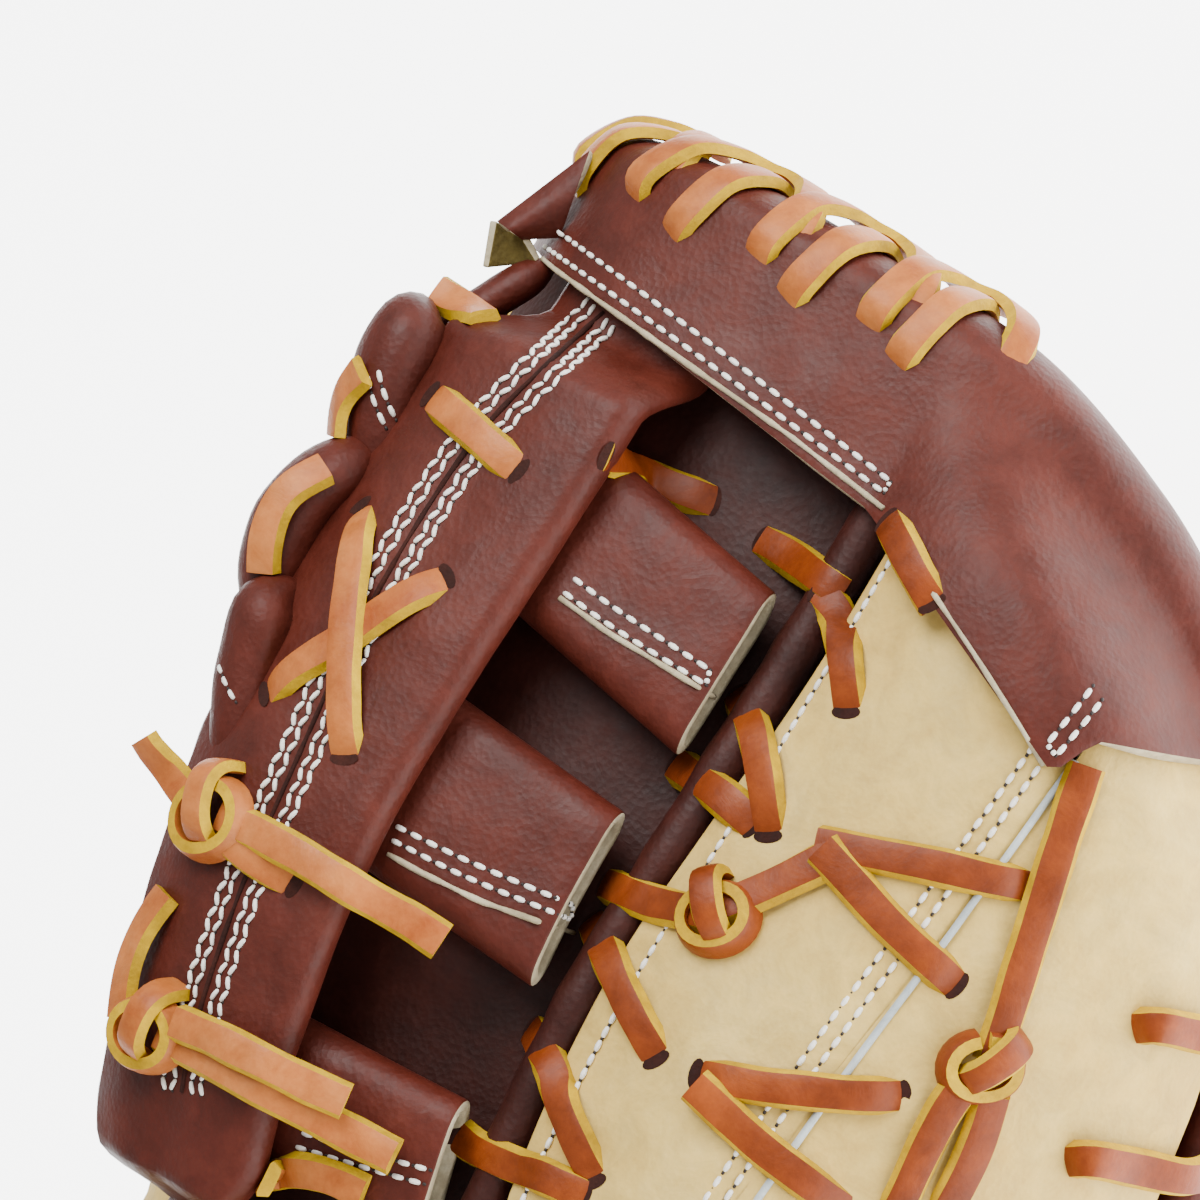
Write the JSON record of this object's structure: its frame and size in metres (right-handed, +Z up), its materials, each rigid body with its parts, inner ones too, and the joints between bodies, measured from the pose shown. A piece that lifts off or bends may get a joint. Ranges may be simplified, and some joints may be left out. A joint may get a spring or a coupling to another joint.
{
  "type": "first baseman mitt",
  "caption": "Leather first baseman mitt for the left hand: padded palm, cream back, folded-bar web with post, laced together, resting palm down.",
  "frame": {"origin": "middle of the base, on the surface that the rim rests on", "axes": "+Y towards the fingertips, +X towards the thumb, +Z up from the palm side to the back"},
  "size_m": [0.1922, 0.305, 0.1278],
  "materials": {
    "brown_leather": "smooth oiled full grain",
    "cream_leather": "smooth full grain",
    "lace_leather": "rawhide lace with yellow cut edges",
    "thread": "waxed thread"
  },
  "bodies": {
    "root": {"palm": "brown_leather", "web_sheet": "brown_leather", "web_bar_top": "brown_leather", "web_bar_middle": "brown_leather", "web_bar_bottom": "brown_leather", "web_post": "brown_leather", "web_top_strap": "brown_leather", "web_edge_binding": "brown_leather", "thumb_inner_back": "cream_leather", "thumb_outer_back": "cream_leather", "index_back": "cream_leather", "middle_back": "cream_leather", "ring_back": "cream_leather", "pinky_back": "cream_leather", "hand_back": "cream_leather", "wrist_strap": "brown_leather", "rim_binding": "brown_leather"}
  },
  "joints": []
}
